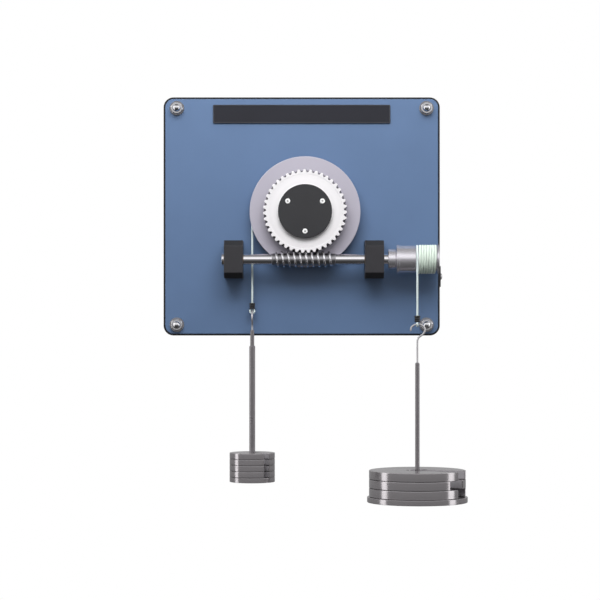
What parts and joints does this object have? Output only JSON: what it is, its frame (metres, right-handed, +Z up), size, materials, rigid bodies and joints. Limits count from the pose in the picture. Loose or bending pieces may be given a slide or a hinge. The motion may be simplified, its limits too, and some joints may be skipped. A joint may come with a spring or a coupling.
{
  "type": "worm gear set",
  "caption": "Wall-mounted worm and wheel lifting set: weights on a cord turn the worm, which turns a toothed wheel and drum that lift a load.",
  "frame": {"origin": "centre of the panel's back face, which lies on the wall", "axes": "+X to the right along the worm shaft, +Y into the wall, +Z up"},
  "size_m": [0.3613, 0.1205, 0.4812],
  "materials": {
    "board": "matt black laminate",
    "face_paint": "satin blue paint",
    "strip": "satin",
    "bright_steel": "polished",
    "black_block": "black anodised satin",
    "bronze": "machined",
    "black_steel": "black oxide",
    "turned_steel": "ground",
    "worm_steel": "machined",
    "drum_metal": "fine turned",
    "grey_disc": "satin anodised",
    "wheel_metal": "bright satin",
    "cap_black": "satin black",
    "cord": "braided",
    "ferrule_black": "satin",
    "rod_steel": "drawn",
    "weight_steel": "turned, plated"
  },
  "bodies": {
    "panel": {"back_board": "board", "face_sheet": "face_paint", "title_strip": "strip", "corner_nut_1": "bright_steel", "corner_nut_2": "bright_steel", "corner_nut_3": "bright_steel", "corner_nut_4": "bright_steel", "corner_stud_1": "bright_steel", "corner_stud_2": "bright_steel", "corner_stud_3": "bright_steel", "corner_stud_4": "bright_steel", "bearing_block_left": "black_block", "bearing_block_right": "black_block", "shaft_bush_left": "bronze", "shaft_bush_right": "bronze", "block_screw_1": "black_steel", "block_screw_2": "black_steel", "block_screw_3": "black_steel", "block_screw_4": "black_steel", "wheel_spindle": "turned_steel", "retaining_washer": "turned_steel", "retaining_screw": "turned_steel", "edge_plate": "black_block", "edge_screw": "turned_steel"},
    "wheel": {"wheel_hub": "turned_steel", "wheel_bush": "bronze", "load_drum": "grey_disc", "worm_wheel": "wheel_metal", "hub_cap": "cap_black", "cap_screw_1": "bright_steel", "cap_screw_2": "bright_steel", "cap_screw_3": "bright_steel", "load_cord_winding": "cord"},
    "worm": {"worm_shaft": "turned_steel", "worm": "worm_steel", "end_collar": "turned_steel", "drum_spacer": "turned_steel", "effort_drum": "drum_metal", "grub_screw": "black_steel", "effort_cord_winding": "cord"},
    "load_hanger": {"load_cord": "cord", "load_ferrule": "ferrule_black", "load_cord_loop": "cord", "load_hook": "rod_steel", "load_rod": "rod_steel", "load_base": "weight_steel"},
    "effort_hanger": {"effort_cord": "cord", "effort_ferrule": "ferrule_black", "effort_cord_loop": "cord", "effort_hook": "rod_steel", "effort_rod": "rod_steel", "effort_base": "weight_steel"},
    "load_weight_1": {"load_weight_1": "weight_steel"},
    "load_weight_2": {"load_weight_2": "weight_steel"},
    "load_weight_3": {"load_weight_3": "weight_steel"},
    "load_weight_4": {"load_weight_4": "weight_steel"},
    "effort_weight_1": {"effort_weight_1": "weight_steel"},
    "effort_weight_2": {"effort_weight_2": "weight_steel"},
    "effort_weight_3": {"effort_weight_3": "weight_steel"}
  },
  "joints": [
    {"name": "effort_drop", "type": "slide", "parent": "panel", "child": "effort_hanger", "axis": [0, 0, -1], "range_m": [0, 0.50894], "deforming": ["effort_cord"]},
    {"name": "worm_spin", "type": "hinge", "parent": "panel", "child": "worm", "pos_m": [0, -0.045, -0.052], "axis": [1, 0, 0], "range_deg": [0, 1800.51]},
    {"name": "wheel_spin", "type": "hinge", "parent": "panel", "child": "wheel", "pos_m": [0.004, -0.045, 0.005], "axis": [0, 1, 0], "range_deg": [0, 41.91]},
    {"name": "load_lift", "type": "slide", "parent": "panel", "child": "load_hanger", "axis": [0, 0, 1], "range_m": [0, 0.04613], "deforming": ["load_cord"]},
    {"name": "load_weight_1_lift", "type": "slide", "parent": "load_hanger", "child": "load_weight_1", "axis": [0, 0, 1], "range_m": [0, 0.015]},
    {"name": "load_weight_2_lift", "type": "slide", "parent": "load_weight_1", "child": "load_weight_2", "axis": [0, 0, 1], "range_m": [0, 0.015]},
    {"name": "load_weight_3_lift", "type": "slide", "parent": "load_weight_2", "child": "load_weight_3", "axis": [0, 0, 1], "range_m": [0, 0.015]},
    {"name": "load_weight_4_lift", "type": "slide", "parent": "load_weight_3", "child": "load_weight_4", "axis": [0, 0, 1], "range_m": [0, 0.015]},
    {"name": "effort_weight_1_lift", "type": "slide", "parent": "effort_hanger", "child": "effort_weight_1", "axis": [0, 0, 1], "range_m": [0, 0.02]},
    {"name": "effort_weight_2_lift", "type": "slide", "parent": "effort_weight_1", "child": "effort_weight_2", "axis": [0, 0, 1], "range_m": [0, 0.02]},
    {"name": "effort_weight_3_lift", "type": "slide", "parent": "effort_weight_2", "child": "effort_weight_3", "axis": [0, 0, 1], "range_m": [0, 0.02]}
  ],
  "couplings": [
    {"joint": "worm_spin", "follows": "effort_drop", "rad_per_m": 61.728},
    {"joint": "wheel_spin", "follows": "effort_drop", "rad_per_m": 1.4355},
    {"joint": "load_lift", "follows": "effort_drop", "ratio": 0.090439}
  ]
}
